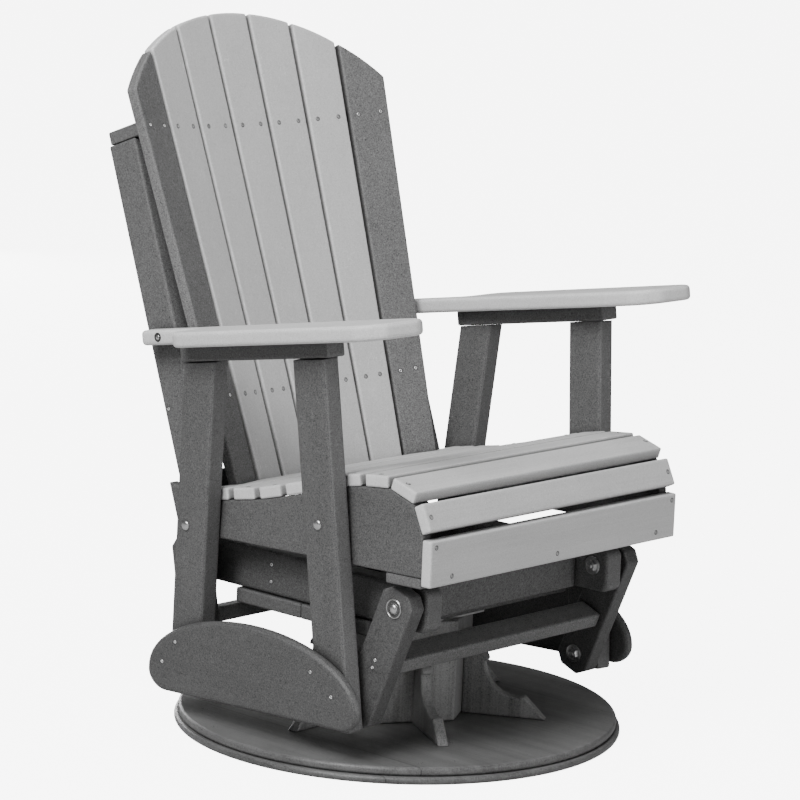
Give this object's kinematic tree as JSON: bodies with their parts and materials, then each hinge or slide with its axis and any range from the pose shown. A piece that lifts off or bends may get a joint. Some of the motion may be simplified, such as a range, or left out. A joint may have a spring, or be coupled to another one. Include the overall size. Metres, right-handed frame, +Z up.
{
  "type": "adirondack swivel glider",
  "caption": "Adirondack chair with fanned back and broad arms that glides on four swing links over a turning round base.",
  "frame": {"origin": "centre of the round base's underside, where the swivel axis meets the floor", "axes": "+Z up along the swivel axis, -Y the way the sitter faces, -X the sitter's right hand"},
  "size_m": [0.824, 0.8623, 1.1735],
  "materials": {
    "dark_board": "speckled dark grey plastic lumber",
    "pale_board": "pale grey plastic lumber",
    "steel": "plain stainless steel"
  },
  "bodies": {
    "base": {"base_lower_disc": "dark_board", "base_upper_disc": "dark_board", "base_column": "dark_board", "base_bracket_1": "dark_board", "base_bracket_2": "dark_board", "base_bracket_3": "dark_board", "base_bracket_4": "dark_board", "base_bracket_5": "dark_board", "base_bracket_6": "dark_board", "bearing_lower_plate": "steel"},
    "carriage": {"bearing_upper_plate": "steel", "platform_board_rear": "dark_board", "platform_board_front": "dark_board", "carriage_side_right": "dark_board", "carriage_side_left": "dark_board", "carriage_cross_front": "dark_board", "carriage_cross_rear": "dark_board"},
    "front_links": {"front_link_right": "dark_board", "front_link_left": "dark_board", "front_link_bar": "dark_board"},
    "rear_links": {"rear_link_right": "dark_board", "rear_link_left": "dark_board", "rear_link_bar": "dark_board"},
    "seat": {"seat_rail_right": "dark_board", "seat_rail_left": "dark_board", "seat_front_board": "dark_board", "front_leg_right": "dark_board", "rear_leg_right": "dark_board", "side_panel_right": "dark_board", "arm_support_right": "dark_board", "back_brace_right": "dark_board", "front_leg_left": "dark_board", "rear_leg_left": "dark_board", "side_panel_left": "dark_board", "arm_support_left": "dark_board", "back_brace_left": "dark_board", "back_top_rail": "dark_board", "back_low_rail": "dark_board", "back_foot_rail": "dark_board", "back_slat_1": "dark_board", "back_slat_7": "dark_board", "seat_slat_1": "pale_board", "seat_slat_2": "pale_board", "seat_slat_3": "pale_board", "seat_slat_4": "pale_board", "seat_slat_5": "pale_board", "seat_slat_6": "pale_board", "seat_slat_7": "pale_board", "seat_slat_8": "pale_board", "seat_slat_9": "pale_board", "seat_apron": "pale_board", "arm_right": "pale_board", "arm_left": "pale_board", "back_slat_2": "pale_board", "back_slat_3": "pale_board", "back_slat_4": "pale_board", "back_slat_5": "pale_board", "back_slat_6": "pale_board"}
  },
  "joints": [
    {"name": "swivel", "type": "hinge", "parent": "base", "child": "carriage", "pos_m": [0, 0, 0.21], "axis": [0, 0, 1], "continuous": true},
    {"name": "front_swing", "type": "hinge", "parent": "carriage", "child": "front_links", "pos_m": [0, -0.245, 0.2885], "axis": [1, 0, 0], "range_deg": [-8, 8]},
    {"name": "rear_swing", "type": "hinge", "parent": "carriage", "child": "rear_links", "pos_m": [0, 0.23278, 0.2885], "axis": [1, 0, 0], "range_deg": [-7.5, 7.5]},
    {"name": "seat_swing", "type": "hinge", "parent": "front_links", "child": "seat", "pos_m": [0, -0.17413, 0.11221], "axis": [1, 0, 0], "range_deg": [-10.3, 10.3]}
  ],
  "couplings": [
    {"joint": "rear_swing", "follows": "front_swing", "ratio": 0.92871},
    {"joint": "seat_swing", "follows": "front_swing", "ratio": -1.2789}
  ]
}
